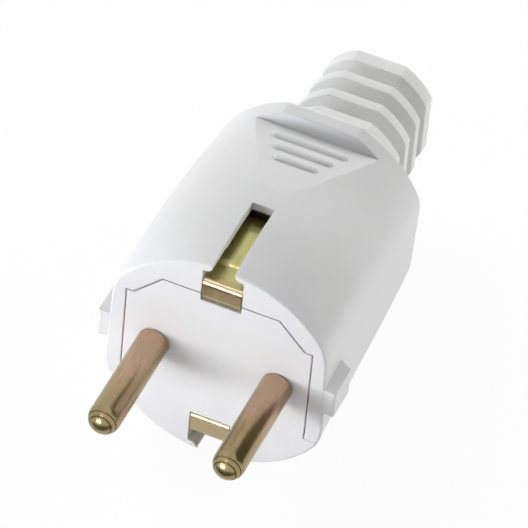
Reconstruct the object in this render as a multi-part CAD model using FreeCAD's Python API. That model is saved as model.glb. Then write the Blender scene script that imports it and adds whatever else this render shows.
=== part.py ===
import FreeCAD, Part
import math
import os

from FreeCAD import Vector

# Straight rewirable plug with two round pins and earth contacts at top and bottom.
# Millimetres. +X right and +Z up as seen from the pins, +Y runs back to the cord.
# The origin is the middle of the front face, halfway between the pins.

# Pins
PIN_R = 2.4
PIN_REACH = 19.1
PIN_SPACING = 19.0
PIN_NECK_DEPTH = 0.4
PIN_NECK_LEAD = 0.2
PIN_COLLAR_R = 3.8
PIN_COLLAR_LENGTH = 2.0
PIN_BARREL_R = 3.2
PIN_BARREL_LENGTH = 13.0
PIN_GROOVE_DEPTH = 0.4
PIN_GROOVE_WIDTH = 2.0
PIN_GROOVE_FROM_END = 3.0
PIN_CLEARANCE = 0.1
TIP_RING_FIRST_DEG = 26.0
TIP_RING_SECOND_DEG = 45.0
TIP_RING_HALF_DEG = 2.5
TIP_RING_DEPTH = 0.12
WIRE_HOLE_R = 1.5
WIRE_HOLE_DEPTH = 11.0
HOLD_HALF_WIDTH = 1.5

# Housing walls and seams
WALL = 1.4
SIDE_RIM = 2.0
SEAM_GAP = 0.2
PARTING_Z = -8.7
FRONT_EDGE = 0.25

# Front plate outline
PLATE_THICKNESS = 4.0
PLATE_MARGIN = 0.85
PLATE_TOP_X = 8.8
PLATE_TOP_Z = 12.6
PLATE_SHOULDER_X = 13.0
PLATE_SHOULDER_Z = 8.25

# Housing, round front with side flats
SIDE_FLAT_DEPTH = 2.25
FRONT_SPREAD = 0.5
BARREL_SPREAD = -0.4
BARREL_SWELL = 0.6
BARREL_EASE = 2.6
BARREL_Y = 12.0

# Housing, shoulder where the round turns into the octagon
SHOULDER_Y = 23.0
SHOULDER_SIDE_X = 16.3
SHOULDER_SIDE_Z = 8.8
SHOULDER_LOW_X = 15.7
SHOULDER_LOW_Z = 8.6
SHOULDER_TOP_X = 6.6
SHOULDER_TOP_Z = 16.85
SHOULDER_TOP_CROWN = 1.2
SHOULDER_DIAGONAL_CROWN = 1.2
SHOULDER_EASE = 2.0

# Housing, octagonal rear
REAR_SIDE_X = 15.75
REAR_SIDE_Z = 7.0
REAR_LOW_X = 15.4
REAR_LOW_Z = 6.4
REAR_TOP_X = 5.75
REAR_TOP_Z = 17.5
REAR_DIAGONAL_CROWN = 1.5
REAR_EASE = 1.0
TAPER_LENGTH = 5.6
TAPER_INSET = 5.4

# Guide ribs on the side flats
GUIDE_HALF_WIDTH = 2.3
GUIDE_LENGTH = 5.6
GUIDE_SLANT = 1.2
GUIDE_RISE = 1.9

# Grip scoop and ridges on the top
LIP_LENGTH = 1.8
SCOOP_WALL_SLANT = 0.7
SCOOP_DEPTH = 2.4
SCOOP_SLOPE_DEG = 12.5
RIDGE_R = 0.7
RIDGE_SINK = 0.1
RIDGE_COUNT = 3
RIDGE_PITCH = 2.7
RIDGE_FROM_WALL = 2.7
RIDGE_FIRST_HALF = 3.4
RIDGE_GROWTH = 1.24

# Earth strap
STRAP_WIDTH = 5.9
STRAP_THICKNESS = 0.8
STRAP_BEND_R = 0.8
STRAP_SINK = 1.6
STRAP_STEP_Y = 4.0
STRAP_STEP = 0.5
STRAP_RUN_Z = 11.4
STRAP_PROUD = 0.1
STRAP_SHORT = 0.6
STRAP_TAB_MARGIN = 0.3

# Openings for the strap
NOTCH_CLEARANCE = 0.15
WINDOW_CORNER_R = 1.05
SLOT_WIDTH = 3.4
SLOT_END_Y = 13.8
STRAP_HEADROOM = 1.15
STRAP_CLEARANCE = 0.05

# Tower behind the front plate that backs the strap
TOWER_PIN_GAP = 1.1
TOWER_PAST_SLOT = 0.2

# Screws
TERMINAL_SCREW_R = 1.25
TERMINAL_SCREW_TIP_Z = 0.2
TERMINAL_HEAD_R = 2.5
TERMINAL_HEAD_HEIGHT = 1.8
TERMINAL_HEAD_LIFT = 0.6
TERMINAL_HOLD_GAP = 1.0
EARTH_SCREW_R = 1.5
EARTH_SCREW_Z = 6.0
EARTH_SCREW_GRIP = 6.5
EARTH_HEAD_R = 2.8
EARTH_HEAD_HEIGHT = 1.9
EARTH_WASHER_R = 3.2
EARTH_WASHER_THICKNESS = 0.8
HOUSING_SCREW_R = 1.75
HOUSING_SCREW_GRIP = 4.5
HOUSING_SCREW_PAST_NUT = 2.3
HOUSING_HEAD_R = 3.1
HOUSING_HEAD_HEIGHT = 2.2
HEAD_CLEARANCE = 0.2
NUT_SIZE = 5.5
NUT_HEIGHT = 2.4
POST_WALL = 0.8
POST_GAP = 0.5
CLAMP_SCREW_R = 1.4
CLAMP_SCREW_GRIP = 7.5
CLAMP_HEAD_R = 2.3
CLAMP_HEAD_HEIGHT = 1.8
DRIVE_SLOT_WIDTH = 0.8
DRIVE_SLOT_DEPTH = 0.9
SCREW_CLEARANCE = 0.1
SCREW_END_ROOM = 0.8

# Cord clamp
CORD_R = 4.2
CLAMP_LENGTH = 5.4
CLAMP_SEAT_Z = -1.5
CLAMP_THICKNESS = 3.0
CLAMP_ARCH_WALL = 2.2
CLAMP_END = 3.0
CLAMP_GAP = 0.5

# Cord sleeve
CORD_CLEARANCE = 0.1
SLEEVE_WALL = 2.5
SLEEVE_CLEARANCE = 0.1
SLEEVE_SIDE_CUT = 0.9
SLEEVE_CROWN = 0.5
SLEEVE_FLANGE_RISE = 2.8
SLEEVE_FLANGE_LENGTH = 2.2
RIB_START = 2.0
RIB_COUNT = 3
RIB_PITCH = 4.45
RIB_WIDTH = 1.6
RIB_FLANK = 0.7
RIB_FIRST_RISE = 3.0
RIB_LAST_RISE = 2.3
END_RING_LENGTH = 2.3

# Places across the plug
PIN_X = PIN_SPACING / 2
PIN_NECK_R = PIN_R - PIN_NECK_DEPTH
PLATE_SIDE_X = PIN_X + PIN_COLLAR_R + PLATE_MARGIN
SIDE_FLAT_X = PLATE_SIDE_X + SEAM_GAP + SIDE_RIM
FRONT_R = SIDE_FLAT_X + SIDE_FLAT_DEPTH
BARREL_R = FRONT_R + BARREL_SWELL
STRAP_CONTACT_Z = FRONT_R - WALL - STRAP_SINK
STRAP_TOP_Z = STRAP_CONTACT_Z + STRAP_STEP
NOTCH_HALF = STRAP_WIDTH / 2 + NOTCH_CLEARANCE
WINDOW_TOP_Z = STRAP_TOP_Z + STRAP_HEADROOM
TOWER_HALF_WIDTH = PIN_X - PIN_COLLAR_R - TOWER_PIN_GAP
TOWER_TOP_Z = STRAP_TOP_Z - STRAP_THICKNESS
STRAP_TAB_Z = EARTH_SCREW_Z - EARTH_WASHER_R - STRAP_TAB_MARGIN
HOUSING_HEAD_Z = PARTING_Z - HOUSING_SCREW_GRIP
HOUSING_SCREW_TIP_Z = PARTING_Z + NUT_HEIGHT + HOUSING_SCREW_PAST_NUT
NUT_POCKET_HALF = NUT_SIZE / 2 + SCREW_CLEARANCE
POST_R = math.hypot(NUT_POCKET_HALF, NUT_POCKET_HALF) + POST_WALL
CLAMP_SCREW_X = CORD_R + CLAMP_ARCH_WALL + CLAMP_HEAD_R + SCREW_CLEARANCE
CLAMP_HALF_WIDTH = CLAMP_SCREW_X + CLAMP_END
CLAMP_SCREW_TIP_Z = CLAMP_SEAT_Z - CLAMP_SCREW_GRIP
SLEEVE_BORE_R = CORD_R + CORD_CLEARANCE
SLEEVE_NECK = SLEEVE_BORE_R + SLEEVE_WALL

# Places along the plug, from the front face to the cord
RIM_DEPTH = PLATE_THICKNESS + STRAP_THICKNESS + SEAM_GAP
COLLAR_END_Y = PLATE_THICKNESS + PIN_COLLAR_LENGTH
PIN_END_Y = COLLAR_END_Y + PIN_BARREL_LENGTH
GROOVE_Y = PIN_END_Y - PIN_GROOVE_FROM_END - PIN_GROOVE_WIDTH
TERMINAL_SCREW_Y = GROOVE_Y - TERMINAL_HOLD_GAP - TERMINAL_HEAD_R
TOWER_REAR_Y = SLOT_END_Y + TOWER_PAST_SLOT
EARTH_SEAT_Y = TOWER_REAR_Y + STRAP_THICKNESS + EARTH_WASHER_THICKNESS
HOUSING_SCREW_Y = EARTH_SEAT_Y + EARTH_HEAD_HEIGHT + POST_GAP + POST_R
CLAMP_FRONT_Y = HOUSING_SCREW_Y + POST_R + POST_GAP
CLAMP_Y = CLAMP_FRONT_Y + CLAMP_LENGTH / 2
FLANGE_Y = CLAMP_FRONT_Y + CLAMP_LENGTH + CLAMP_GAP
REAR_Y = FLANGE_Y + SLEEVE_FLANGE_LENGTH
BODY_END_Y = REAR_Y + TAPER_LENGTH
RIB_FIRST_Y = BODY_END_Y + RIB_START
END_RING_Y = RIB_FIRST_Y + RIB_COUNT * RIB_PITCH
SLEEVE_END_Y = END_RING_Y + END_RING_LENGTH
SCOOP_LIP_Y = REAR_Y - LIP_LENGTH
SCOOP_REAR_Y = SCOOP_LIP_Y - SCOOP_WALL_SLANT
SCOOP_REAR_Z = REAR_TOP_Z - SCOOP_DEPTH
RIDGE_LAST_Y = SCOOP_REAR_Y - RIDGE_FROM_WALL

EIGHTH = math.radians(22.5)
FAR = 100.0


def box(x0, x1, y0, y1, z0, z1):
    return Part.makeBox(x1 - x0, y1 - y0, z1 - z0, Vector(x0, y0, z0))


def round_y(radius, x, z, y0, y1):
    return Part.makeCylinder(radius, y1 - y0, Vector(x, y0, z), Vector(0, 1, 0))


def round_z(radius, x, y, z0, z1):
    return Part.makeCylinder(radius, z1 - z0, Vector(x, y, z0), Vector(0, 0, 1))


def prism_x(points_yz, half_width):
    corners = [Vector(-half_width, y, z) for y, z in points_yz]
    face = Part.Face(Part.makePolygon(corners + corners[:1]))
    return face.extrude(Vector(2 * half_width, 0, 0))


def prism_y(points_xz, y0, y1):
    corners = [Vector(x, y0, z) for x, z in points_xz]
    face = Part.Face(Part.makePolygon(corners + corners[:1]))
    return face.extrude(Vector(0, y1 - y0, 0))


def cut_back(edge, start, end):
    """What is left of an edge when a length is cut off at each end."""
    first = edge.getParameterByLength(start)
    last = edge.getParameterByLength(edge.Length - end)
    return edge.Curve.toShape(first, last)


def eased_corner(before, after):
    """Curve that leads from one edge into the next without a kink."""
    a = before.valueAt(before.LastParameter)
    b = after.valueAt(after.FirstParameter)
    leave = before.tangentAt(before.LastParameter)
    arrive = after.tangentAt(after.FirstParameter)
    turn = leave.cross(arrive)
    reach = (b - a).cross(arrive).dot(turn) / turn.dot(turn)
    curve = Part.BezierCurve()
    curve.setPoles([a, a + leave * reach, b])
    return curve.toShape()


def section(y, right, bottom_crown, lower_crown, upper_crown, top_crown, ease):
    """Eight-sided outline from its right corners, bottom to top, with bulging slants and eased sides."""
    corners = right + [(-x, z) for x, z in reversed(right)]
    crowns = [lower_crown, 0, upper_crown, top_crown, upper_crown, 0, lower_crown, bottom_crown]
    edges = []
    for i, (start, crown) in enumerate(zip(corners, crowns)):
        end = corners[(i + 1) % len(corners)]
        a = Vector(start[0], y, start[1])
        b = Vector(end[0], y, end[1])
        if crown:
            out = Vector(b.z - a.z, 0, a.x - b.x).normalize()
            edges.append(Part.Arc(a, (a + b) / 2 + out * crown, b).toShape())
        else:
            edges.append(Part.LineSegment(a, b).toShape())
    if not ease:
        return Part.Wire(edges)
    starts = [0, ease, ease, 0, 0, ease, ease, 0]
    ends = starts[1:] + starts[:1]
    edges = [cut_back(edge, start, end) for edge, start, end in zip(edges, starts, ends)]
    outline = []
    for edge, following, end in zip(edges, edges[1:] + edges[:1], ends):
        outline.append(edge)
        if end:
            outline.append(eased_corner(edge, following))
    return Part.Wire(outline)


def bulge(radius, start, end):
    """Height of the arc of a radius over the chord between two points."""
    half_chord = math.hypot(end[0] - start[0], end[1] - start[1]) / 2
    return radius - math.sqrt(radius ** 2 - half_chord ** 2)


def barrel_section(y, upper_r, spread, inset):
    """Round with two side flats that spread towards the bottom; only its upper half swells."""
    upper = upper_r - inset
    lower = FRONT_R - inset
    side_x = SIDE_FLAT_X - inset
    low_x = side_x + spread
    bottom = (lower * math.sin(EIGHTH), -lower * math.cos(EIGHTH))
    low = (low_x, -math.sqrt(lower ** 2 - low_x ** 2))
    side = (side_x, math.sqrt(upper ** 2 - side_x ** 2))
    top = (upper * math.sin(EIGHTH), upper * math.cos(EIGHTH))
    bottom_crown = bulge(lower, (-bottom[0], 0), (bottom[0], 0))
    top_crown = bulge(upper, (-top[0], 0), (top[0], 0))
    return section(y, [bottom, low, side, top], bottom_crown,
                   bulge(lower, bottom, low), bulge(upper, side, top), top_crown, BARREL_EASE)


def octagon_section(y, side, low, top, top_crown, diagonal_crown, ease, inset):
    """Octagon whose sides are all moved in by the same distance."""
    turn = math.atan2(top[1] - side[1], side[0] - top[0])
    top_in = inset * math.tan(turn / 2)
    side_in = inset * math.tan((math.pi / 2 - turn) / 2)
    top_x = top[0] - top_in
    top_z = top[1] - inset
    inner_low = (low[0] - inset, side_in - low[1])
    inner_side = (side[0] - inset, side[1] - side_in)
    right = [(top_x, -top_z), inner_low, inner_side, (top_x, top_z)]
    return section(y, right, top_crown, diagonal_crown, diagonal_crown, top_crown, ease)


def shoulder_section(inset):
    side = (SHOULDER_SIDE_X, SHOULDER_SIDE_Z)
    low = (SHOULDER_LOW_X, SHOULDER_LOW_Z)
    top = (SHOULDER_TOP_X, SHOULDER_TOP_Z)
    return octagon_section(SHOULDER_Y, side, low, top,
                           SHOULDER_TOP_CROWN, SHOULDER_DIAGONAL_CROWN, SHOULDER_EASE, inset)


def rear_section(y, inset):
    side = (REAR_SIDE_X, REAR_SIDE_Z)
    low = (REAR_LOW_X, REAR_LOW_Z)
    top = (REAR_TOP_X, REAR_TOP_Z)
    return octagon_section(y, side, low, top, 0, REAR_DIAGONAL_CROWN, REAR_EASE, inset)


def barrel_loft(start_y, inset):
    """Round at the front, octagonal at the rear."""
    wires = [
        barrel_section(start_y, FRONT_R, FRONT_SPREAD, inset),
        barrel_section(BARREL_Y, BARREL_R, BARREL_SPREAD, inset),
        shoulder_section(inset),
        rear_section(REAR_Y, inset),
    ]
    return Part.makeLoft(wires, True, False)


def scoop_z(y):
    """Height of the sloping scoop floor."""
    return SCOOP_REAR_Z + (SCOOP_REAR_Y - y) * math.tan(math.radians(SCOOP_SLOPE_DEG))


def scoop_cut(depth):
    """Everything above the scoop floor, lowered by a depth."""
    lip_y = SCOOP_LIP_Y + depth
    profile = [
        (0, scoop_z(0) - depth),
        (SCOOP_REAR_Y + depth, SCOOP_REAR_Z - depth),
        (lip_y, REAR_TOP_Z),
        (lip_y, FAR),
        (0, FAR),
    ]
    return prism_x(profile, FAR)


def guide_rib(side):
    """Rib on a side flat, cut off at a slant behind."""
    root = SIDE_FLAT_X - WALL
    reach = SIDE_FLAT_X + GUIDE_RISE
    outline = [
        (root, FRONT_EDGE), (reach - FRONT_EDGE, 0), (reach, FRONT_EDGE), (reach, GUIDE_LENGTH),
        (SIDE_FLAT_X, GUIDE_LENGTH + GUIDE_SLANT), (root, GUIDE_LENGTH + GUIDE_SLANT),
    ]
    corners = [Vector(side * x, y, -GUIDE_HALF_WIDTH) for x, y in outline]
    face = Part.Face(Part.makePolygon(corners + corners[:1]))
    return face.extrude(Vector(0, 0, 2 * GUIDE_HALF_WIDTH))


def housing_outside():
    nose = Part.makeLoft([barrel_section(0, FRONT_R, FRONT_SPREAD, FRONT_EDGE),
                          barrel_section(FRONT_EDGE, FRONT_R, FRONT_SPREAD, 0)], True, True)
    taper = Part.makeLoft([rear_section(REAR_Y, 0), rear_section(BODY_END_Y, TAPER_INSET)], True, True)
    return nose.fuse([barrel_loft(FRONT_EDGE, 0), taper, guide_rib(1), guide_rib(-1)])


def housing_cavity():
    room = box(-FAR, FAR, RIM_DEPTH, REAR_Y, -FAR, FAR)
    return barrel_loft(FRONT_EDGE, WALL).common(room).cut(scoop_cut(WALL))


def ridges():
    """Rounded bars across the scoop floor, each longer than the one before it."""
    bars = []
    for i in range(RIDGE_COUNT):
        y = RIDGE_LAST_Y - (RIDGE_COUNT - 1 - i) * RIDGE_PITCH
        half = RIDGE_FIRST_HALF + i * RIDGE_GROWTH - RIDGE_R
        centre_z = scoop_z(y) - RIDGE_SINK
        bar = Part.makeCylinder(RIDGE_R, 2 * half, Vector(-half, y, centre_z), Vector(1, 0, 0))
        ends = [Part.makeSphere(RIDGE_R, Vector(x, y, centre_z)) for x in (-half, half)]
        bars.append(bar.fuse(ends))
    return bars


def plate_outline(gap):
    """Front plate outline, grown by a gap, down to below the parting plane."""
    right = [
        (PLATE_SIDE_X + gap, PARTING_Z - WALL),
        (PLATE_SIDE_X + gap, PLATE_SHOULDER_Z + gap),
        (PLATE_SHOULDER_X + gap, PLATE_SHOULDER_Z + gap),
        (PLATE_TOP_X + gap, PLATE_TOP_Z + gap),
    ]
    left = [(-x, z) for x, z in reversed(right)]
    return right + left


def tee_prism(side):
    """Wide window in the front rim, narrowed to the slot above it by round shoulders."""
    slot_half = SLOT_WIDTH / 2
    corner_x = slot_half + WINDOW_CORNER_R
    corner_z = WINDOW_TOP_Z + WINDOW_CORNER_R
    swing = WINDOW_CORNER_R * math.sqrt(0.5)
    edges = []
    for x_sign in (1, -1):
        outline = [(NOTCH_HALF, STRAP_RUN_Z), (NOTCH_HALF, WINDOW_TOP_Z), (corner_x, WINDOW_TOP_Z),
                   (corner_x - swing, corner_z - swing), (slot_half, corner_z), (slot_half, FAR)]
        foot, shoulder, start, middle, end, top = [Vector(x_sign * x, 0, side * z) for x, z in outline]
        edges += Part.makePolygon([foot, shoulder, start]).Edges
        edges.append(Part.Arc(start, middle, end).toShape())
        edges.append(Part.LineSegment(end, top).toShape())
    for half, z in ((NOTCH_HALF, STRAP_RUN_Z), (slot_half, FAR)):
        edges.append(Part.LineSegment(Vector(-half, 0, side * z), Vector(half, 0, side * z)).toShape())
    wire = Part.Wire(Part.__sortEdges__(edges))
    return Part.Face(wire).extrude(Vector(0, RIM_DEPTH, 0))


def earth_openings(side):
    """Window in the front rim and slot in the wall over a strap contact."""
    slot_ends = sorted([side * STRAP_CONTACT_Z, side * FAR])
    slot = box(-SLOT_WIDTH / 2, SLOT_WIDTH / 2, 0, SLOT_END_Y, *slot_ends)
    return [tee_prism(side), slot]


def housing_screw_holes():
    """Head recess, shank hole and nut pocket along the housing screw."""
    y = HOUSING_SCREW_Y
    half = NUT_POCKET_HALF
    head = round_z(HOUSING_HEAD_R + HEAD_CLEARANCE, 0, y, -FAR, HOUSING_HEAD_Z)
    shank = round_z(HOUSING_SCREW_R + SCREW_CLEARANCE, 0, y, -FAR, HOUSING_SCREW_TIP_Z + SCREW_END_ROOM)
    nut = box(-half, half, y - half, y + half, PARTING_Z, PARTING_Z + NUT_HEIGHT + SCREW_CLEARANCE)
    return [head, shank, nut]


def upper_cover(outside, cavity):
    above = box(-FAR, FAR, -FAR, FAR, PARTING_Z, FAR)
    scooped = outside.cut(scoop_cut(0))
    inside = [round_z(POST_R, 0, HOUSING_SCREW_Y, PARTING_Z, FAR)]
    for x in (-PIN_X, PIN_X):
        inside.append(box(x - HOLD_HALF_WIDTH, x + HOLD_HALF_WIDTH, GROOVE_Y, GROOVE_Y + PIN_GROOVE_WIDTH,
                          PIN_BARREL_R + PIN_CLEARANCE, FAR))
    inside = [piece.common(scooped) for piece in inside]
    shell = scooped.common(above).cut(cavity).fuse(inside + ridges())
    pocket = prism_y(plate_outline(SEAM_GAP), -FAR, RIM_DEPTH)
    neck = sleeve_prism(SLEEVE_NECK + SLEEVE_CLEARANCE, REAR_Y, BODY_END_Y)
    cuts = [pocket, neck] + earth_openings(1) + housing_screw_holes()
    return shell.cut(cuts).removeSplitter()


def pin_cradle(x):
    """Upright wall that sits in the groove of a pin."""
    y0 = GROOVE_Y + PIN_CLEARANCE
    y1 = GROOVE_Y + PIN_GROOVE_WIDTH - PIN_CLEARANCE
    wall = box(x - PIN_BARREL_R, x + PIN_BARREL_R, y0, y1, -FAR, 0)
    return wall.cut(round_y(PIN_BARREL_R - PIN_GROOVE_DEPTH + PIN_CLEARANCE, x, 0, y0, y1))


def strap_tower():
    """Block behind the front plate that backs the strap, eased where the strap folds over it."""
    y0 = PLATE_THICKNESS
    ease = STRAP_BEND_R
    profile = [
        (y0, -TOWER_TOP_Z), (TOWER_REAR_Y, -TOWER_TOP_Z), (TOWER_REAR_Y, TOWER_TOP_Z - ease),
        (TOWER_REAR_Y - ease, TOWER_TOP_Z), (y0, TOWER_TOP_Z),
    ]
    head = box(-FAR, FAR, y0, RIM_DEPTH + SEAM_GAP, PLATE_TOP_Z, FAR)
    screw = round_y(EARTH_SCREW_R + SCREW_CLEARANCE, 0, EARTH_SCREW_Z,
                    TOWER_REAR_Y - EARTH_SCREW_GRIP - SCREW_END_ROOM, TOWER_REAR_Y)
    return prism_x(profile, TOWER_HALF_WIDTH).cut([head, screw])


def strap_path_cuts():
    """Slot behind the plate for the strap's run, the plate's top notch and eased edges at the folds."""
    rear = PLATE_THICKNESS + STRAP_THICKNESS + STRAP_CLEARANCE
    ease = STRAP_BEND_R
    cuts = [
        box(-NOTCH_HALF, NOTCH_HALF, PLATE_THICKNESS, rear, -STRAP_RUN_Z, FAR),
        box(-NOTCH_HALF, NOTCH_HALF, 0, PLATE_THICKNESS, STRAP_RUN_Z, FAR),
    ]
    for z in (STRAP_RUN_Z, -STRAP_RUN_Z):
        eased_z = z - math.copysign(ease, z)
        fold = [(PLATE_THICKNESS - ease, z), (PLATE_THICKNESS, z), (PLATE_THICKNESS, eased_z)]
        cuts.append(prism_x(fold, NOTCH_HALF))
    return cuts


def clamp_seat():
    wall = box(-CLAMP_HALF_WIDTH, CLAMP_HALF_WIDTH, CLAMP_FRONT_Y, CLAMP_FRONT_Y + CLAMP_LENGTH,
               -FAR, CLAMP_SEAT_Z)
    holes = [round_y(CORD_R, 0, 0, CLAMP_FRONT_Y, CLAMP_FRONT_Y + CLAMP_LENGTH)]
    for x in (-CLAMP_SCREW_X, CLAMP_SCREW_X):
        holes.append(round_z(CLAMP_SCREW_R + SCREW_CLEARANCE, x, CLAMP_Y,
                             CLAMP_SCREW_TIP_Z - SCREW_END_ROOM, CLAMP_SEAT_Z))
    return wall.cut(holes)


def lower_body(outside, cavity):
    below = box(-FAR, FAR, -FAR, FAR, -FAR, PARTING_Z)
    tray = outside.common(below).cut(cavity)
    plate = prism_y(plate_outline(0), 0, PLATE_THICKNESS)
    boss = round_z(POST_R, 0, HOUSING_SCREW_Y, -FAR, PARTING_Z)
    uprights = [boss, clamp_seat(), pin_cradle(PIN_X), pin_cradle(-PIN_X)]
    inside = [piece.common(outside) for piece in uprights]
    body = tray.fuse([plate, strap_tower()] + inside)
    cuts = earth_openings(-1) + housing_screw_holes()[:2] + strap_path_cuts()
    cuts.append(sleeve_prism(SLEEVE_NECK + SLEEVE_CLEARANCE, REAR_Y, BODY_END_Y))
    for x in (-PIN_X, PIN_X):
        cuts.append(round_y(PIN_NECK_R, x, 0, 0, PLATE_THICKNESS))
    return body.cut(cuts).removeSplitter()


def dome_point(angle_deg, depth):
    """Point of the pin's outline on its round tip, at an angle from where the tip begins."""
    angle = math.radians(angle_deg)
    r = PIN_R - depth
    return Vector(r * math.cos(angle), PIN_R - PIN_REACH - r * math.sin(angle), 0)


def tip_outline():
    """Quarter round from the pin's side to its end, with two fine turned rings."""
    ends = [0.0]
    for ring in (TIP_RING_FIRST_DEG, TIP_RING_SECOND_DEG):
        ends += [ring - TIP_RING_HALF_DEG, ring + TIP_RING_HALF_DEG]
    ends.append(90.0)
    edges = []
    for start, end in zip(ends[::2], ends[1::2]):
        if edges:
            groove = dome_point(start - TIP_RING_HALF_DEG, TIP_RING_DEPTH)
            edges += Part.makePolygon([edges[-1].Vertexes[-1].Point, groove, dome_point(start, 0)]).Edges
        arc = Part.Arc(dome_point(start, 0), dome_point((start + end) / 2, 0), dome_point(end, 0))
        edges.append(arc.toShape())
    return edges


def pin(side):
    """Turned pin: round tip, neck moulded into the plate, collar, wire barrel with a holding groove."""
    groove_r = PIN_BARREL_R - PIN_GROOVE_DEPTH
    hole_y = PIN_END_Y - WIRE_HOLE_DEPTH
    outline = [
        (0, -PIN_REACH), (0, hole_y), (WIRE_HOLE_R, hole_y), (WIRE_HOLE_R, PIN_END_Y),
        (PIN_BARREL_R, PIN_END_Y), (PIN_BARREL_R, GROOVE_Y + PIN_GROOVE_WIDTH),
        (groove_r, GROOVE_Y + PIN_GROOVE_WIDTH), (groove_r, GROOVE_Y), (PIN_BARREL_R, GROOVE_Y),
        (PIN_BARREL_R, COLLAR_END_Y), (PIN_COLLAR_R, COLLAR_END_Y), (PIN_COLLAR_R, PLATE_THICKNESS),
        (PIN_NECK_R, PLATE_THICKNESS), (PIN_NECK_R, 0), (PIN_R, -PIN_NECK_LEAD), (PIN_R, PIN_R - PIN_REACH),
    ]
    straight = Part.makePolygon([Vector(r, y, 0) for r, y in outline]).Edges
    face = Part.Face(Part.Wire(Part.__sortEdges__(straight + tip_outline())))
    solid = face.revolve(Vector(0, 0, 0), Vector(0, 1, 0), 360)
    solid = solid.cut(round_z(TERMINAL_SCREW_R + SCREW_CLEARANCE, 0, TERMINAL_SCREW_Y, 0, FAR))
    solid.translate(Vector(side * PIN_X, 0, 0))
    return solid


def turn_left(direction):
    unit = Vector(direction).normalize()
    return Vector(0, -unit.z, unit.y)


def strip(points_yz, thickness, bend_r, width):
    """Flat strip folded along a path in the YZ plane, with round bends."""
    points = [Vector(0, y, z) for y, z in points_yz]
    sides = []
    for offset in (thickness / 2, -thickness / 2):
        edges = []
        here = points[0] + turn_left(points[1] - points[0]) * offset
        for before, corner, after in zip(points, points[1:], points[2:]):
            into = (corner - before).normalize()
            out = (after - corner).normalize()
            reach = bend_r * math.tan(into.getAngle(out) / 2)
            start = corner - into * reach + turn_left(into) * offset
            end = corner + out * reach + turn_left(out) * offset
            inward = (out - into).normalize()
            centre = corner + inward * math.hypot(bend_r, reach)
            middle = centre - inward * (start - centre).Length
            edges.append(Part.LineSegment(here, start).toShape())
            edges.append(Part.Arc(start, middle, end).toShape())
            here = end
        last = points[-1] + turn_left(points[-1] - points[-2]) * offset
        edges.append(Part.LineSegment(here, last).toShape())
        sides.append(edges)
    ends = [Part.LineSegment(a.Vertexes[i].Point, b.Vertexes[i].Point).toShape()
            for a, b, i in ((sides[0][0], sides[1][0], 0), (sides[0][-1], sides[1][-1], 1))]
    wire = Part.Wire(Part.__sortEdges__(sides[0] + sides[1] + ends))
    solid = Part.Face(wire).extrude(Vector(width, 0, 0))
    solid.translate(Vector(-width / 2, 0, 0))
    return solid


def earth_strap():
    """One strip: earth tab, stepped top contact, front fold, run behind the plate and bottom contact."""
    half = STRAP_THICKNESS / 2
    tab_y = TOWER_REAR_Y + half
    rear_z = STRAP_TOP_Z - half
    contact_z = STRAP_CONTACT_Z - half
    step_end_y = STRAP_STEP_Y + STRAP_STEP
    front_y = half - STRAP_PROUD
    run_z = STRAP_RUN_Z + half
    back_y = PLATE_THICKNESS + half
    path = [
        (tab_y, STRAP_TAB_Z), (tab_y, rear_z), (step_end_y, rear_z), (STRAP_STEP_Y, contact_z),
        (front_y, contact_z), (front_y, run_z), (back_y, run_z), (back_y, -run_z), (front_y, -run_z),
        (front_y, -contact_z), (STRAP_STEP_Y, -contact_z), (step_end_y, -rear_z),
        (SLOT_END_Y - STRAP_SHORT, -rear_z),
    ]
    solid = strip(path, STRAP_THICKNESS, STRAP_BEND_R, STRAP_WIDTH)
    hole = round_y(EARTH_SCREW_R + SCREW_CLEARANCE, 0, EARTH_SCREW_Z, TOWER_REAR_Y, EARTH_SEAT_Y)
    return solid.cut(hole)


def slotted_screw(shank_r, shank_length, head_r, head_height):
    """Screw along -Z with the underside of its head at the origin."""
    shank = round_z(shank_r, 0, 0, -shank_length, 0)
    head = round_z(head_r, 0, 0, 0, head_height)
    half = DRIVE_SLOT_WIDTH / 2
    slot = box(-head_r, head_r, -half, half, head_height - DRIVE_SLOT_DEPTH, head_height)
    return shank.fuse(head).cut(slot).removeSplitter()


def terminal_screw(side):
    seat_z = PIN_BARREL_R + TERMINAL_HEAD_LIFT
    screw = slotted_screw(TERMINAL_SCREW_R, seat_z - TERMINAL_SCREW_TIP_Z,
                          TERMINAL_HEAD_R, TERMINAL_HEAD_HEIGHT)
    screw.translate(Vector(side * PIN_X, TERMINAL_SCREW_Y, seat_z))
    return screw


def earth_washer():
    y0 = TOWER_REAR_Y + STRAP_THICKNESS
    disc = round_y(EARTH_WASHER_R, 0, EARTH_SCREW_Z, y0, EARTH_SEAT_Y)
    return disc.cut(round_y(EARTH_SCREW_R + SCREW_CLEARANCE, 0, EARTH_SCREW_Z, y0, EARTH_SEAT_Y))


def earth_screw():
    length = EARTH_SEAT_Y - TOWER_REAR_Y + EARTH_SCREW_GRIP
    screw = slotted_screw(EARTH_SCREW_R, length, EARTH_HEAD_R, EARTH_HEAD_HEIGHT)
    screw.rotate(Vector(0, 0, 0), Vector(1, 0, 0), -90)
    screw.translate(Vector(0, EARTH_SEAT_Y, EARTH_SCREW_Z))
    return screw


def housing_screw():
    screw = slotted_screw(HOUSING_SCREW_R, HOUSING_SCREW_TIP_Z - HOUSING_HEAD_Z,
                          HOUSING_HEAD_R, HOUSING_HEAD_HEIGHT)
    screw.rotate(Vector(0, 0, 0), Vector(1, 0, 0), 180)
    screw.translate(Vector(0, HOUSING_SCREW_Y, HOUSING_HEAD_Z))
    return screw


def housing_nut():
    half = NUT_SIZE / 2
    y = HOUSING_SCREW_Y
    top_z = PARTING_Z + NUT_HEIGHT
    block = box(-half, half, y - half, y + half, PARTING_Z, top_z)
    return block.cut(round_z(HOUSING_SCREW_R + SCREW_CLEARANCE, 0, y, PARTING_Z, top_z))


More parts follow.
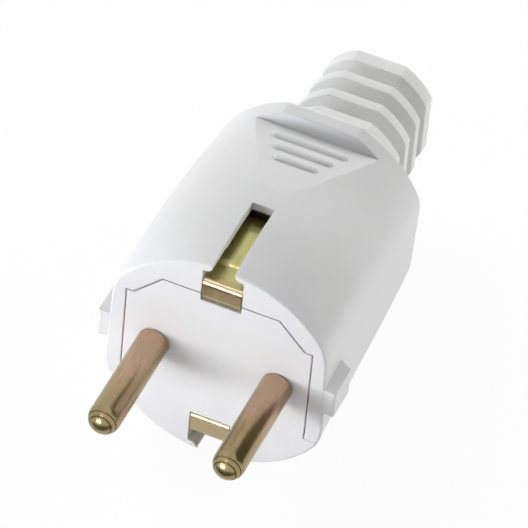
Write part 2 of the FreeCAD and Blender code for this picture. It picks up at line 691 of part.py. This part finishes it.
def cord_clamp():
    """Bar with an arch over the cord, screwed down on the seat in the lower body."""
    y0 = CLAMP_FRONT_Y
    y1 = CLAMP_FRONT_Y + CLAMP_LENGTH
    top_z = CLAMP_SEAT_Z + CLAMP_THICKNESS
    bar = box(-CLAMP_HALF_WIDTH, CLAMP_HALF_WIDTH, y0, y1, CLAMP_SEAT_Z, top_z)
    arch = round_y(CORD_R + CLAMP_ARCH_WALL, 0, 0, y0, y1)
    arch = arch.common(box(-FAR, FAR, y0, y1, CLAMP_SEAT_Z, FAR))
    cuts = [round_y(CORD_R, 0, 0, y0, y1)]
    for x in (-CLAMP_SCREW_X, CLAMP_SCREW_X):
        cuts.append(round_z(CLAMP_SCREW_R + SCREW_CLEARANCE, x, CLAMP_Y, CLAMP_SEAT_Z, top_z))
    return bar.fuse(arch).cut(cuts).removeSplitter()


def clamp_screw(side):
    seat_z = CLAMP_SEAT_Z + CLAMP_THICKNESS
    screw = slotted_screw(CLAMP_SCREW_R, seat_z - CLAMP_SCREW_TIP_Z, CLAMP_HEAD_R, CLAMP_HEAD_HEIGHT)
    screw.translate(Vector(side * CLAMP_SCREW_X, CLAMP_Y, seat_z))
    return screw


def sleeve_section(half_height, y):
    """Octagon with rounded slants, a little narrower than it is high."""
    top_x = half_height * math.tan(EIGHTH)
    side_x = half_height - SLEEVE_SIDE_CUT
    side_z = top_x + SLEEVE_SIDE_CUT
    right = [(top_x, -half_height), (side_x, -side_z), (side_x, side_z), (top_x, half_height)]
    return section(y, right, 0, SLEEVE_CROWN, SLEEVE_CROWN, 0, 0)


def sleeve_prism(half_height, y0, y1):
    return Part.Face(sleeve_section(half_height, y0)).extrude(Vector(0, y1 - y0, 0))


def sleeve_flank(start, y0, end, y1):
    return Part.makeLoft([sleeve_section(start, y0), sleeve_section(end, y1)], True, True)


def sleeve_rib(half_height, y0, width):
    """Rib with a slanted front flank that rises from the neck."""
    front = sleeve_flank(SLEEVE_NECK, y0 - RIB_FLANK, half_height, y0)
    return [front, sleeve_prism(half_height, y0, y0 + width)]


def cord_sleeve():
    """Octagonal bend-protection sleeve: flange inside, neck through the wall, ribs and an end ring."""
    pieces = [
        sleeve_prism(SLEEVE_NECK + SLEEVE_FLANGE_RISE, FLANGE_Y, REAR_Y),
        sleeve_prism(SLEEVE_NECK, REAR_Y, SLEEVE_END_Y),
    ]
    step = (RIB_FIRST_RISE - RIB_LAST_RISE) / RIB_COUNT
    for i in range(RIB_COUNT):
        y = RIB_FIRST_Y + i * RIB_PITCH
        half_height = SLEEVE_NECK + RIB_FIRST_RISE - i * step
        pieces += sleeve_rib(half_height, y, RIB_WIDTH)
        pieces.append(sleeve_flank(half_height, y + RIB_WIDTH, SLEEVE_NECK, y + RIB_WIDTH + RIB_FLANK))
    pieces += sleeve_rib(SLEEVE_NECK + RIB_LAST_RISE, END_RING_Y, END_RING_LENGTH)
    body = pieces[0].fuse(pieces[1:])
    return body.cut(round_y(SLEEVE_BORE_R, 0, 0, FLANGE_Y, SLEEVE_END_Y)).removeSplitter()


def main():
    outside = housing_outside()
    cavity = housing_cavity()
    parts = {
        "upper_cover": upper_cover(outside, cavity),
        "lower_body": lower_body(outside, cavity),
        "pin_left": pin(-1),
        "pin_right": pin(1),
        "terminal_screw_left": terminal_screw(-1),
        "terminal_screw_right": terminal_screw(1),
        "earth_strap": earth_strap(),
        "earth_washer": earth_washer(),
        "earth_screw": earth_screw(),
        "housing_screw": housing_screw(),
        "housing_nut": housing_nut(),
        "cord_clamp": cord_clamp(),
        "clamp_screw_left": clamp_screw(-1),
        "clamp_screw_right": clamp_screw(1),
        "cord_sleeve": cord_sleeve(),
    }
    os.makedirs("parts", exist_ok=True)
    for name, shape in parts.items():
        shape.exportStep("parts/" + name + ".step")
        print(name, "solids", len(shape.Solids), "valid", shape.isValid(), "volume", round(shape.Volume, 1))


main()
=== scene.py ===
import math

import bpy
from bpy.props import FloatProperty, FloatVectorProperty, PointerProperty
from bpy.types import Operator, Panel, PropertyGroup
from mathutils import Matrix, Vector


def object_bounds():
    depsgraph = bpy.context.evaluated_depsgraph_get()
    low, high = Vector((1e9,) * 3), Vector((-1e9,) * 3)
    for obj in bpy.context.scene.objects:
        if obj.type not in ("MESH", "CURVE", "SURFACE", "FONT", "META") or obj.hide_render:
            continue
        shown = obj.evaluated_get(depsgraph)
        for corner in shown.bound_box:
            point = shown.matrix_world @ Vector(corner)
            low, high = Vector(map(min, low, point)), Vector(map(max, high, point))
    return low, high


bl_info = {
    "name": "Round Pin Plug",
    "version": (1, 0, 0),
    "blender": (4, 5, 0),
    "location": "View3D > Sidebar > Plug",
    "description": "Gives a white mains plug its moulded, turned and rolled finishes, on a plain stage",
    "category": "Object",
}

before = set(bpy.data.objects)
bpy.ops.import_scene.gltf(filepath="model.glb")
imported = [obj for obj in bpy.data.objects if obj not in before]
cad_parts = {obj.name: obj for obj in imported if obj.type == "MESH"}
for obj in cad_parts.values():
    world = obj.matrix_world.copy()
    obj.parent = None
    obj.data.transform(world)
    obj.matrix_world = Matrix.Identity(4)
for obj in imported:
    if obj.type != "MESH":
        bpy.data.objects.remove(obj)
CAD_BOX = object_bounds()
MM = 0.001

MOULDED_NODES = ("upper_cover", "lower_body", "cord_clamp")
SLEEVE_NODES = ("cord_sleeve",)
PIN_NODES = ("pin_left", "pin_right")
STRAP_NODES = ("earth_strap",)
SCREW_NODES = (
    "housing_screw", "housing_nut", "earth_screw", "earth_washer",
    "terminal_screw_left", "terminal_screw_right", "clamp_screw_left", "clamp_screw_right",
)

# Noise values lie round 0.5, and these spans of them are spread over the range of a finish.
NOISE_MIDDLE = (0.35, 0.65)
NOISE_SPAN = (0.25, 0.75)
ZINC_MIDDLE = (0.38, 0.62)

# The two values of a test of a light ray.
SWITCH = (0.0, 1.0)

# Places of the brass tones between the start and the end of their turning. On a pin the turn from tan to
# darker gold and olive towards the tip is painted reflection, standing in for the darker surroundings that
# the tip mirrors.
PIN_TONE_AND_REFLECTION_PLACES = (0.15, 0.5, 0.9)
STRAP_TONE_PLACES = (0.2, 0.75, 1.0)

# Lengths of the fine lines in the brass: round a pin they don't end, in the strip they are short.
TURNING_LENGTH = 1.0
ROLLING_LENGTH = 3.0 * MM

GRAIN_STRENGTH = 0.6
LINE_STRENGTH = 0.5
EDGE_SAMPLES = 6
BLACK = (0.0, 0.0, 0.0, 1.0)
WHITE = (1.0, 1.0, 1.0, 1.0)

# Lamps, lengths in metres: direction from the plug, distance, size, and whether the metal mirrors them.
LAMPS = {
    "high": dict(toward=(-1.0, 0.45, 0.9), distance=0.7, width=0.5, height=0.5, mirrored=False),
    "low": dict(toward=(-0.75, -0.62, 0.05), distance=0.7, width=0.6, height=0.16, mirrored=False),
    "far": dict(toward=(0.8, 0.6, 0.5), distance=0.7, width=0.45, height=0.45, mirrored=False),
    "front": dict(toward=(-0.31, -0.93, 0.12), distance=0.2, width=0.07, height=0.04, mirrored=True),
    "spark": dict(toward=(-0.23, -0.62, 0.75), distance=0.7, width=0.12, height=0.12, mirrored=True),
}

# Floor and dark cards, lengths in metres.
FLOOR_ROUGHNESS = 0.9
FLOOR_HALF = 3.0
REAR_CARD_HALF_WIDTH = 0.42
REAR_CARD_HALF_LENGTH = 0.34
REAR_CARD_TOWARD = (0.60, 0.67, 0.42)
REAR_CARD_DISTANCE = 0.6
FLOOR_CARD_HALF_WIDTH = 0.045
FLOOR_CARD_HALF_LENGTH = 0.033
FLOOR_CARD_Y = -0.064
FLOOR_CARD_LIFT = 0.5 * MM

# Width of the camera's sensor in millimetres.
SENSOR_WIDTH = 36.0


def colour(name, description, default):
    """Setting for a colour."""
    return FloatVectorProperty(name=name, description=description, default=default, subtype="COLOR",
                               size=3, min=0.0, max=1.0)


def length(name, description, default_mm):
    """Setting for a length, with its default in millimetres."""
    return FloatProperty(name=name, description=description, default=default_mm * MM, unit="LENGTH",
                         min=0.0)


def share(name, description, default):
    """Setting for a share from 0 to 1."""
    return FloatProperty(name=name, description=description, default=default, subtype="FACTOR",
                         min=0.0, max=1.0)


def turn(name, description, default_deg):
    """Setting for an angle, with its default in degrees."""
    return FloatProperty(name=name, description=description, default=math.radians(default_deg),
                         subtype="ANGLE")


class MouldingFinish(PropertyGroup):
    """White moulded plastic of the housing and the cord clamp"""
    white: colour("White", "Main colour of the moulding", (0.80, 0.80, 0.80))
    cloud: colour("Cloud", "Slightly darker tone that drifts over the moulding", (0.765, 0.765, 0.765))
    cloud_size: length("Cloud size", "Width of the drifting tones", 14.0)
    grain_size: length("Grain size", "Width of the fine grain left by the mould", 0.16)
    grain_depth: length("Grain depth", "Height of the fine grain", 0.006)
    gloss: share("Gloss", "Strength of the reflections", 0.45)
    smooth: share("Smooth", "Roughness where the surface shines most", 0.34)
    rough: share("Rough", "Roughness where the surface shines least", 0.48)
    edge: length("Edge", "Radius of the softened edges", 0.28)
    depth: length("Depth", "How deep light goes into the plastic", 0.6)
    depth_share: share("Depth share", "How much of the light goes into the plastic", 0.25)


class SleeveFinish(PropertyGroup):
    """Soft white plastic of the cord sleeve"""
    white: colour("White", "Main colour of the sleeve", (0.86, 0.86, 0.855))
    cloud: colour("Cloud", "Slightly darker tone that drifts over the sleeve", (0.81, 0.81, 0.805))
    cloud_size: length("Cloud size", "Width of the drifting tones", 9.0)
    grain_size: length("Grain size", "Width of the fine grain", 0.22)
    grain_depth: length("Grain depth", "Height of the fine grain", 0.010)
    gloss: share("Gloss", "Strength of the reflections", 0.35)
    smooth: share("Smooth", "Roughness where the surface shines most", 0.46)
    rough: share("Rough", "Roughness where the surface shines least", 0.60)
    edge: length("Edge", "Radius of the softened edges", 0.35)
    depth: length("Depth", "How deep light goes into the plastic", 1.0)
    depth_share: share("Depth share", "How much of the light goes into the plastic", 0.35)


class PinFinish(PropertyGroup):
    """Turned brass of the pins"""
    # Tan is the brass's own colour; gold and olive, darker towards the tip, are painted reflection of
    # darker surroundings.
    tan: colour("Tan", "Reddish brass next to the plug", (0.485, 0.335, 0.225))
    gold: colour("Gold", "Brass half way along a pin", (0.365, 0.275, 0.15))
    olive: colour("Olive", "Greenish brass towards the tip", (0.275, 0.24, 0.125))
    reflection_reach: length("Reach", "Length over which the tone turns from tan to olive", 28.0)
    drift_width: length("Drift width", "Width of the faint streaks across a pin", 2.2)
    drift_length: length("Drift length", "Length of the faint streaks along a pin", 11.0)
    drift: share("Drift", "How far the streaks shift the tone", 0.7)
    turning_pitch: length("Turning pitch", "Spacing of the fine turning lines", 0.12)
    turning_depth: length("Turning depth", "Depth of the fine turning lines", 0.003)
    smooth: share("Smooth", "Roughness of the polished parts", 0.20)
    rough: share("Rough", "Roughness of the tarnished parts", 0.30)


class StrapFinish(PropertyGroup):
    """Rolled brass strip of the earth strap"""
    brown: colour("Brown", "Tarnished front of the contacts", (0.44, 0.35, 0.21))
    olive: colour("Olive", "Greenish brass behind the front", (0.46, 0.415, 0.165))
    gold: colour("Gold", "Bright brass where the strip is worn", (0.52, 0.48, 0.21))
    front: length("Front", "How far the tarnish reaches back from the front", 1.6)
    drift_width: length("Drift width", "Width of the faint rolling streaks", 1.2)
    drift_length: length("Drift length", "Length of the faint rolling streaks", 8.0)
    drift: share("Drift", "How far the streaks shift the tone", 0.5)
    rolling_pitch: length("Rolling pitch", "Spacing of the fine rolling lines", 0.10)
    rolling_depth: length("Rolling depth", "Depth of the fine rolling lines", 0.0015)
    smooth: share("Smooth", "Roughness of the bright parts", 0.17)
    rough: share("Rough", "Roughness of the dull parts", 0.30)


class ScrewFinish(PropertyGroup):
    """Zinc plated steel of the screws, the nut and the washer"""
    bright: colour("Bright", "Bright zinc", (0.60, 0.60, 0.58))
    dull: colour("Dull", "Dull zinc", (0.42, 0.42, 0.40))
    spangle_size: length("Spangle size", "Width of the spots in the plating", 0.6)
    smooth: share("Smooth", "Roughness of the bright spots", 0.25)
    rough: share("Rough", "Roughness of the dull spots", 0.45)


class StageSettings(PropertyGroup):
    """Floor, lamps, cards and camera"""
    azimuth: turn("Azimuth", "Angle of the camera round the plug, from straight in front", 19.27)
    elevation: turn("Elevation", "Angle of the camera above the horizon", 45.12)
    roll: turn("Roll", "Tilt of the camera about its own line of sight", 5.8)
    distance: length("Distance", "Distance from the camera to the plug", 900.0)
    view_width: length("View width", "Width of the picture at the plug", 74.37)
    aim_right: length("Aim right", "How far the picture's middle is right of the front's middle", 6.85)
    aim_up: length("Aim up", "How far the picture's middle is above the front's middle", 13.98)
    floor: colour("Floor", "Colour of the floor", (0.86, 0.86, 0.86))
    floor_glow: share("Floor glow", "How far the floor is seen as plain white, under its shadow", 0.95)
    ambient: share("Ambient", "Level of the light from all round", 0.17)
    high: share("High", "Level of the lamp high behind the plug, at the left", 0.59)
    low: share("Low", "Level of the low wide lamp in front, at the left", 0.44)
    far: share("Far", "Level of the lamp behind the plug, at the right", 0.58)
    front: share("Front", "Level of the small near lamp in front", 0.37)
    spark: share("Spark", "Level of the small lamp that lights up the bends of the strap", 0.045)
    cool: colour("Cool", "Tint of the lamps in front", (0.96, 0.965, 1.0))
    card: colour("Card", "Tone of the dark cards that the metal mirrors", (0.19, 0.17, 0.115))


class PlugSettings(PropertyGroup):
    """All the finishes of the plug and its stage"""
    moulding: PointerProperty(name="Moulding", description="Housing and cord clamp", type=MouldingFinish)
    sleeve: PointerProperty(name="Sleeve", description="Cord sleeve", type=SleeveFinish)
    pins: PointerProperty(name="Pins", description="The two pins", type=PinFinish)
    strap: PointerProperty(name="Strap", description="Earth strap", type=StrapFinish)
    screws: PointerProperty(name="Screws", description="Screws, nut and washer", type=ScrewFinish)
    stage: PointerProperty(name="Stage", description="What stands round the plug", type=StageSettings)


def new_material(name):
    """An empty material, its node tree and its shader."""
    material = bpy.data.materials.new(name)
    material.use_nodes = True
    tree = material.node_tree
    return material, tree, tree.nodes["Principled BSDF"]


def add_node(tree, kind, settings=None, **values):
    """A node with its options set and its input sockets filled or linked."""
    node = tree.nodes.new(kind)
    for name, value in (settings or {}).items():
        setattr(node, name, value)
    for name, value in values.items():
        socket = node.inputs[name.replace("_", " ")]
        if isinstance(value, bpy.types.NodeSocket):
            tree.links.new(value, socket)
        else:
            socket.default_value = value
    return node


def join(tree, operation, first, second):
    """Two values put together by one step of arithmetic."""
    step = add_node(tree, "ShaderNodeMath", {"operation": operation})
    tree.links.new(first, step.inputs[0])
    tree.links.new(second, step.inputs[1])
    return step.outputs["Value"]


def noise(tree, sizes, detail=3.0):
    """Noise whose spots have a given size along X, Y and Z."""
    place = add_node(tree, "ShaderNodeTexCoord")
    stretch = add_node(tree, "ShaderNodeMapping", Vector=place.outputs["Object"],
                       Scale=[1 / size for size in sizes])
    spots = add_node(tree, "ShaderNodeTexNoise", Vector=stretch.outputs["Vector"], Scale=1.0,
                     Detail=detail)
    return spots.outputs["Fac"]


def tones(tree, factor, stops):
    """Colours that change with a factor, from a list of places and colours."""
    ramp = add_node(tree, "ShaderNodeValToRGB", Fac=factor)
    elements = ramp.color_ramp.elements
    while len(elements) < len(stops):
        elements.new(0.5)
    for element, (place, tone) in zip(elements, stops):
        element.position = place
        element.color = (*tone, 1.0)
    return ramp.outputs["Color"]


def levels(tree, factor, span, low, high):
    """A value that goes from low to high while a factor goes through a span."""
    start, end = span
    spread = add_node(tree, "ShaderNodeMapRange", Value=factor, From_Min=start, From_Max=end,
                      To_Min=low, To_Max=high)
    return spread.outputs["Result"]


def plastic(name, finish):
    """Moulded plastic with a fine grain, soft clouds of tone and rounded edges."""
    material, tree, shader = new_material(name)
    clouds = noise(tree, [finish.cloud_size] * 3)
    grain = noise(tree, [finish.grain_size] * 3, detail=2.0)
    soft_edge = add_node(tree, "ShaderNodeBevel", {"samples": EDGE_SAMPLES}, Radius=finish.edge)
    bump = add_node(tree, "ShaderNodeBump", Height=grain, Distance=finish.grain_depth,
                    Strength=GRAIN_STRENGTH, Normal=soft_edge.outputs["Normal"])
    stops = list(zip(NOISE_MIDDLE, (finish.cloud, finish.white)))
    roughness = levels(tree, clouds, NOISE_MIDDLE, finish.smooth, finish.rough)
    tree.links.new(tones(tree, clouds, stops), shader.inputs["Base Color"])
    tree.links.new(roughness, shader.inputs["Roughness"])
    tree.links.new(bump.outputs["Normal"], shader.inputs["Normal"])
    shader.inputs["Specular IOR Level"].default_value = finish.gloss
    shader.inputs["Subsurface Weight"].default_value = finish.depth_share
    shader.inputs["Subsurface Radius"].default_value = (1.0, 1.0, 1.0)
    shader.inputs["Subsurface Scale"].default_value = finish.depth
    return material


def along(tree, start, end):
    """A value that goes from 0 to 1 between two places along the plug."""
    place = add_node(tree, "ShaderNodeTexCoord")
    parts = add_node(tree, "ShaderNodeSeparateXYZ", Vector=place.outputs["Object"])
    return levels(tree, parts.outputs["Y"], (start, end), 0.0, 1.0)


def brass(name, finish, stops, turning, drift_sizes, line_sizes, line_depth):
    """Metal whose tone turns along the plug, with faint streaks and fine lines from its making."""
    material, tree, shader = new_material(name)
    streaks = noise(tree, drift_sizes)
    shift = levels(tree, streaks, NOISE_SPAN, -finish.drift / 2, finish.drift / 2)
    place = join(tree, "ADD", along(tree, *turning), shift)
    lines = noise(tree, line_sizes)
    bump = add_node(tree, "ShaderNodeBump", Height=lines, Distance=line_depth, Strength=LINE_STRENGTH)
    roughness = levels(tree, streaks, NOISE_MIDDLE, finish.rough, finish.smooth)
    tree.links.new(tones(tree, place, stops), shader.inputs["Base Color"])
    tree.links.new(roughness, shader.inputs["Roughness"])
    tree.links.new(bump.outputs["Normal"], shader.inputs["Normal"])
    shader.inputs["Metallic"].default_value = 1.0
    return material


def zinc(name, finish):
    """Plated steel with bright and dull spots."""
    material, tree, shader = new_material(name)
    spots = noise(tree, [finish.spangle_size] * 3, detail=4.0)
    stops = list(zip(ZINC_MIDDLE, (finish.dull, finish.bright)))
    roughness = levels(tree, spots, NOISE_MIDDLE, finish.rough, finish.smooth)
    tree.links.new(tones(tree, spots, stops), shader.inputs["Base Color"])
    tree.links.new(roughness, shader.inputs["Roughness"])
    shader.inputs["Metallic"].default_value = 1.0
    return material


def dress(nodes, material):
    """Gives CAD nodes one material."""
    for name in nodes:
        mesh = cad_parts[name].data
        mesh.materials.clear()
        mesh.materials.append(material)


class PLUG_OT_housing(Operator):
    """Finish the moulded housing and the cord clamp inside it"""
    bl_idname = "plug.housing"
    bl_label = "Housing"

    def execute(self, context):
        dress(MOULDED_NODES, plastic("white_moulding", context.scene.plug.moulding))
        return {"FINISHED"}


class PLUG_OT_sleeve(Operator):
    """Finish the ribbed cord sleeve"""
    bl_idname = "plug.sleeve"
    bl_label = "Cord sleeve"

    def execute(self, context):
        dress(SLEEVE_NODES, plastic("white_sleeve", context.scene.plug.sleeve))
        return {"FINISHED"}


class PLUG_OT_pins(Operator):
    """Finish the two turned pins"""
    bl_idname = "plug.pins"
    bl_label = "Pins"

    def execute(self, context):
        finish = context.scene.plug.pins
        # The tones turn from tan to olive along the pin: painted reflection that darkens the tip.
        stops = list(zip(PIN_TONE_AND_REFLECTION_PLACES, (finish.tan, finish.gold, finish.olive)))
        streaks = (finish.drift_width, finish.drift_length, finish.drift_width)
        rings = (TURNING_LENGTH, finish.turning_pitch, TURNING_LENGTH)
        dress(PIN_NODES, brass("pin_brass", finish, stops, (0.0, -finish.reflection_reach), streaks, rings,
                               finish.turning_depth))
        return {"FINISHED"}


class PLUG_OT_strap(Operator):
    """Finish the rolled earth strap"""
    bl_idname = "plug.strap"
    bl_label = "Earth strap"

    def execute(self, context):
        finish = context.scene.plug.strap
        stops = list(zip(STRAP_TONE_PLACES, (finish.brown, finish.olive, finish.gold)))
        streaks = (finish.drift_width, finish.drift_length, finish.drift_length)
        lines = (finish.rolling_pitch, ROLLING_LENGTH, ROLLING_LENGTH)
        dress(STRAP_NODES, brass("strap_brass", finish, stops, (0.0, finish.front), streaks, lines,
                                 finish.rolling_depth))
        return {"FINISHED"}


class PLUG_OT_screws(Operator):
    """Finish the screws, the nut and the washer"""
    bl_idname = "plug.screws"
    bl_label = "Screws"

    def execute(self, context):
        dress(SCREW_NODES, zinc("screw_steel", context.scene.plug.screws))
        return {"FINISHED"}


def add_object(name, data):
    """A new object in the scene."""
    thing = bpy.data.objects.new(name, data)
    bpy.context.scene.collection.objects.link(thing)
    return thing


def add_plane(name, half_width, half_length, material):
    """Flat level piece of the stage."""
    x, y = half_width, half_length
    mesh = bpy.data.meshes.new(name)
    mesh.from_pydata([(-x, -y, 0), (x, -y, 0), (x, y, 0), (-x, y, 0)], [], [(0, 1, 2, 3)])
    mesh.materials.append(material)
    plane = add_object(name, mesh)
    return plane


def seen_ray(tree):
    """1 for rays that show the stage, straight or mirrored or through glass, and 0 for its light."""
    path = add_node(tree, "ShaderNodeLightPath").outputs
    mirrored = join(tree, "MAXIMUM", path["Is Glossy Ray"], path["Is Transmission Ray"])
    return join(tree, "MAXIMUM", path["Is Camera Ray"], mirrored)


def set_floor(stage):
    """Pale floor under the plug that is seen nearly white and keeps the soft shadow."""
    material, tree, shader = new_material("pale_floor")
    shader.inputs["Base Color"].default_value = (*stage.floor, 1.0)
    shader.inputs["Roughness"].default_value = FLOOR_ROUGHNESS
    shader.inputs["Specular IOR Level"].default_value = 0.0
    glow = add_node(tree, "ShaderNodeEmission", Color=WHITE, Strength=1.0)
    amount = levels(tree, seen_ray(tree), SWITCH, 0.0, stage.floor_glow)
    mix = add_node(tree, "ShaderNodeMixShader", Fac=amount)
    tree.links.new(shader.outputs["BSDF"], mix.inputs[1])
    tree.links.new(glow.outputs["Emission"], mix.inputs[2])
    tree.links.new(mix.outputs["Shader"], tree.nodes["Material Output"].inputs["Surface"])
    floor = add_plane("floor", FLOOR_HALF, FLOOR_HALF, material)
    floor.location.z = CAD_BOX[0].z


def set_world(stage):
    """White all round for the eye, and a softer even light on the plug."""
    world = bpy.data.worlds.new("studio")
    world.use_nodes = True
    bpy.context.scene.world = world
    tree = world.node_tree
    background = tree.nodes["Background"]
    background.inputs["Color"].default_value = WHITE
    strength = levels(tree, seen_ray(tree), SWITCH, stage.ambient, 1.0)
    tree.links.new(strength, background.inputs["Strength"])


def face_plug(thing, toward, distance):
    """Sets a lamp or a card off from the plug in a direction, turned towards it."""
    direction = Vector(toward).normalized()
    thing.location = (CAD_BOX[0] + CAD_BOX[1]) / 2 + direction * distance
    thing.rotation_mode = "QUATERNION"
    thing.rotation_quaternion = direction.to_track_quat("Z", "Y")


def set_lamp(name, level, tint, toward, distance, width, height, mirrored):
    """Soft lamp whose level is the share of white that it gives to a surface that faces it."""
    lamp = bpy.data.lights.new(name, "AREA")
    lamp.shape = "RECTANGLE"
    lamp.size = width
    lamp.size_y = height
    lamp.energy = level * math.pi ** 2 * distance ** 2
    in_front = toward[1] < 0
    if in_front:
        lamp.color = tint
    lit = add_object(name, lamp)
    lit.visible_glossy = mirrored
    face_plug(lit, toward, distance)


def add_card(name, half_width, half_length, tone):
    """Flat card that only reflections show."""
    material, _, shader = new_material(name)
    shader.inputs["Base Color"].default_value = BLACK
    shader.inputs["Specular IOR Level"].default_value = 0.0
    shader.inputs["Emission Color"].default_value = (*tone, 1.0)
    shader.inputs["Emission Strength"].default_value = 1.0
    card = add_plane(name, half_width, half_length, material)
    card.visible_camera = False
    card.visible_diffuse = False
    card.visible_shadow = False
    return card


def set_cards(stage):
    """Dark cards for the metal to mirror: one behind the plug at the right, one on the floor in front."""
    rear = add_card("rear_card", REAR_CARD_HALF_WIDTH, REAR_CARD_HALF_LENGTH, stage.card)
    face_plug(rear, REAR_CARD_TOWARD, REAR_CARD_DISTANCE)
    flat = add_card("floor_card", FLOOR_CARD_HALF_WIDTH, FLOOR_CARD_HALF_LENGTH, stage.card)
    flat.location = (0.0, FLOOR_CARD_Y, CAD_BOX[0].z + FLOOR_CARD_LIFT)


def set_camera(stage):
    """Camera at the picture's angle, tilted about its own line of sight."""
    az = stage.azimuth
    el = stage.elevation
    back = Vector((math.sin(az) * math.cos(el), -math.cos(az) * math.cos(el), math.sin(el)))
    level = Vector((math.cos(az), math.sin(az), 0.0))
    upright = back.cross(level)
    right = level * math.cos(stage.roll) + upright * math.sin(stage.roll)
    up = upright * math.cos(stage.roll) - level * math.sin(stage.roll)
    data = bpy.data.cameras.new("camera")
    data.sensor_width = SENSOR_WIDTH
    data.lens = SENSOR_WIDTH * stage.distance / stage.view_width
    camera = add_object("camera", data)
    target = right * stage.aim_right + up * stage.aim_up
    turned = Matrix((right, up, back)).transposed().to_4x4()
    camera.matrix_world = Matrix.Translation(target + back * stage.distance) @ turned
    bpy.context.scene.camera = camera


class PLUG_OT_stage(Operator):
    """Set the floor, the lamps, the cards and the camera"""
    bl_idname = "plug.stage"
    bl_label = "Stage"

    def execute(self, context):
        stage = context.scene.plug.stage
        context.scene.view_settings.view_transform = "Standard"
        set_floor(stage)
        set_world(stage)
        set_cards(stage)
        for name, lamp in LAMPS.items():
            set_lamp(name, getattr(stage, name), stage.cool, **lamp)
        set_camera(stage)
        return {"FINISHED"}


STEPS = (
    (PLUG_OT_housing, "moulding"),
    (PLUG_OT_sleeve, "sleeve"),
    (PLUG_OT_pins, "pins"),
    (PLUG_OT_strap, "strap"),
    (PLUG_OT_screws, "screws"),
    (PLUG_OT_stage, "stage"),
)


class VIEW3D_PT_plug(Panel):
    """Finishes of the plug"""
    bl_label = "Plug"
    bl_space_type = "VIEW_3D"
    bl_region_type = "UI"
    bl_category = "Plug"

    def draw(self, context):
        settings = context.scene.plug
        for operator, group in STEPS:
            box = self.layout.box()
            box.operator(operator.bl_idname)
            finish = getattr(settings, group)
            for name in finish.__annotations__:
                box.prop(finish, name)


CLASSES = (
    MouldingFinish, SleeveFinish, PinFinish, StrapFinish, ScrewFinish, StageSettings, PlugSettings,
    *(operator for operator, group in STEPS), VIEW3D_PT_plug,
)


def register():
    """Makes the settings, the operators and the panel known."""
    for cls in CLASSES:
        bpy.utils.register_class(cls)
    bpy.types.Scene.plug = PointerProperty(name="Plug", description="Finishes and stage", type=PlugSettings)


def unregister():
    """Takes them away again."""
    del bpy.types.Scene.plug
    for cls in reversed(CLASSES):
        bpy.utils.unregister_class(cls)


def main():
    """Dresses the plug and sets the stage."""
    register()
    bpy.ops.plug.housing()
    bpy.ops.plug.sleeve()
    bpy.ops.plug.pins()
    bpy.ops.plug.strap()
    bpy.ops.plug.screws()
    bpy.ops.plug.stage()


if __name__ == "__main__":
    main()
